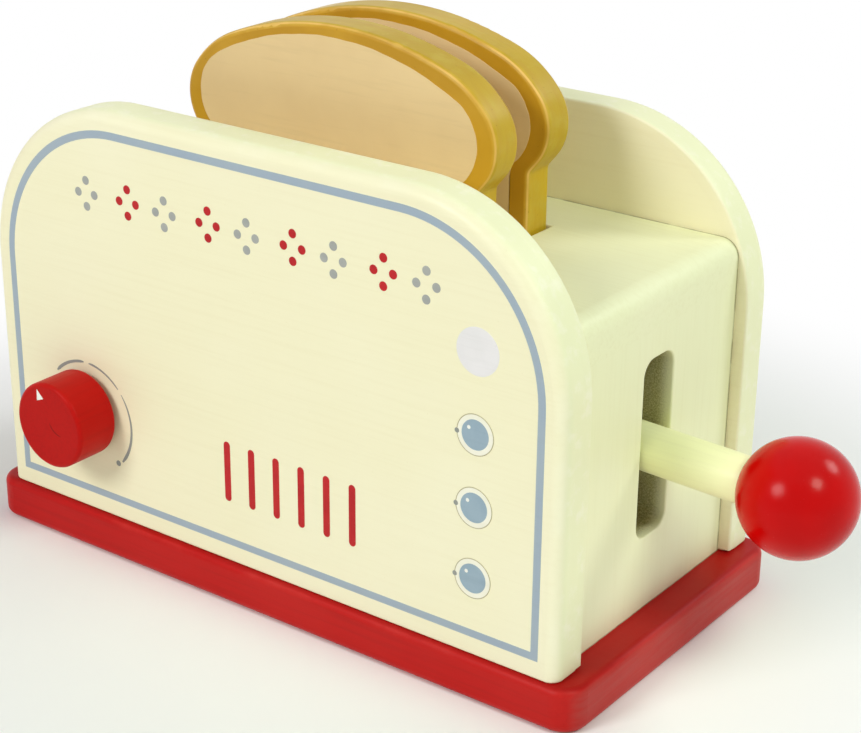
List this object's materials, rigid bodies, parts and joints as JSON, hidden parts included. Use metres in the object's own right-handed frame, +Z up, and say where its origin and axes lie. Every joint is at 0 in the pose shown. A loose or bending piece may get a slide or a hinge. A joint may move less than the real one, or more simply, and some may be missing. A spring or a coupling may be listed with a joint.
{
  "type": "toy toaster",
  "caption": "Wooden toy toaster with rounded panels, two toast slices in slots, a sprung side lever with a ball knob and a turning dial.",
  "frame": {"origin": "centre of the base board's underside", "axes": "+Z up, front panel with the dial towards -Y, lever with its ball towards +X"},
  "size_m": [0.2476, 0.1142, 0.1549],
  "materials": {
    "cream_paint": "satin paint",
    "red_paint": "satin paint",
    "red_gloss": "gloss lacquer",
    "toast_paint": "satin paint",
    "bare_wood": "sanded",
    "spring_steel": "drawn wire",
    "zinc_steel": "zinc plated"
  },
  "bodies": {
    "case": {"base_board": "red_paint", "front_panel": "cream_paint", "rear_panel": "cream_paint", "left_end_board": "cream_paint", "right_end_board": "cream_paint", "top_board": "cream_paint", "base_screws": "zinc_steel", "guide_peg_left": "bare_wood", "guide_peg_right": "bare_wood", "lift_spring_left": "spring_steel", "lift_spring_right": "spring_steel", "dial_washer": "bare_wood"},
    "lift": {"carriage": "bare_wood", "lever_rod": "cream_paint", "lever_pin": "bare_wood", "lever_ball": "red_gloss"},
    "toast_front": {"toast_front": "toast_paint"},
    "toast_rear": {"toast_rear": "toast_paint"},
    "dial": {"dial_knob": "red_paint", "dial_peg": "bare_wood", "dial_collar": "bare_wood"}
  },
  "joints": [
    {"name": "lever_lift", "type": "slide", "parent": "case", "child": "lift", "axis": [0, 0, 1], "range_m": [-0.0165, 0.0182], "stiffness_N_per_m": 113, "springref_m": 0.0182, "deforming": ["lift_spring_left", "lift_spring_right"]},
    {"name": "toast_front_lift", "type": "slide", "parent": "lift", "child": "toast_front", "axis": [0, 0, 1], "range_m": [0, 0.075]},
    {"name": "toast_rear_lift", "type": "slide", "parent": "lift", "child": "toast_rear", "axis": [0, 0, 1], "range_m": [0, 0.075]},
    {"name": "dial_turn", "type": "hinge", "parent": "case", "child": "dial", "pos_m": [-0.06175, -0.0489, 0.0433], "axis": [0, -1, 0], "continuous": true}
  ]
}
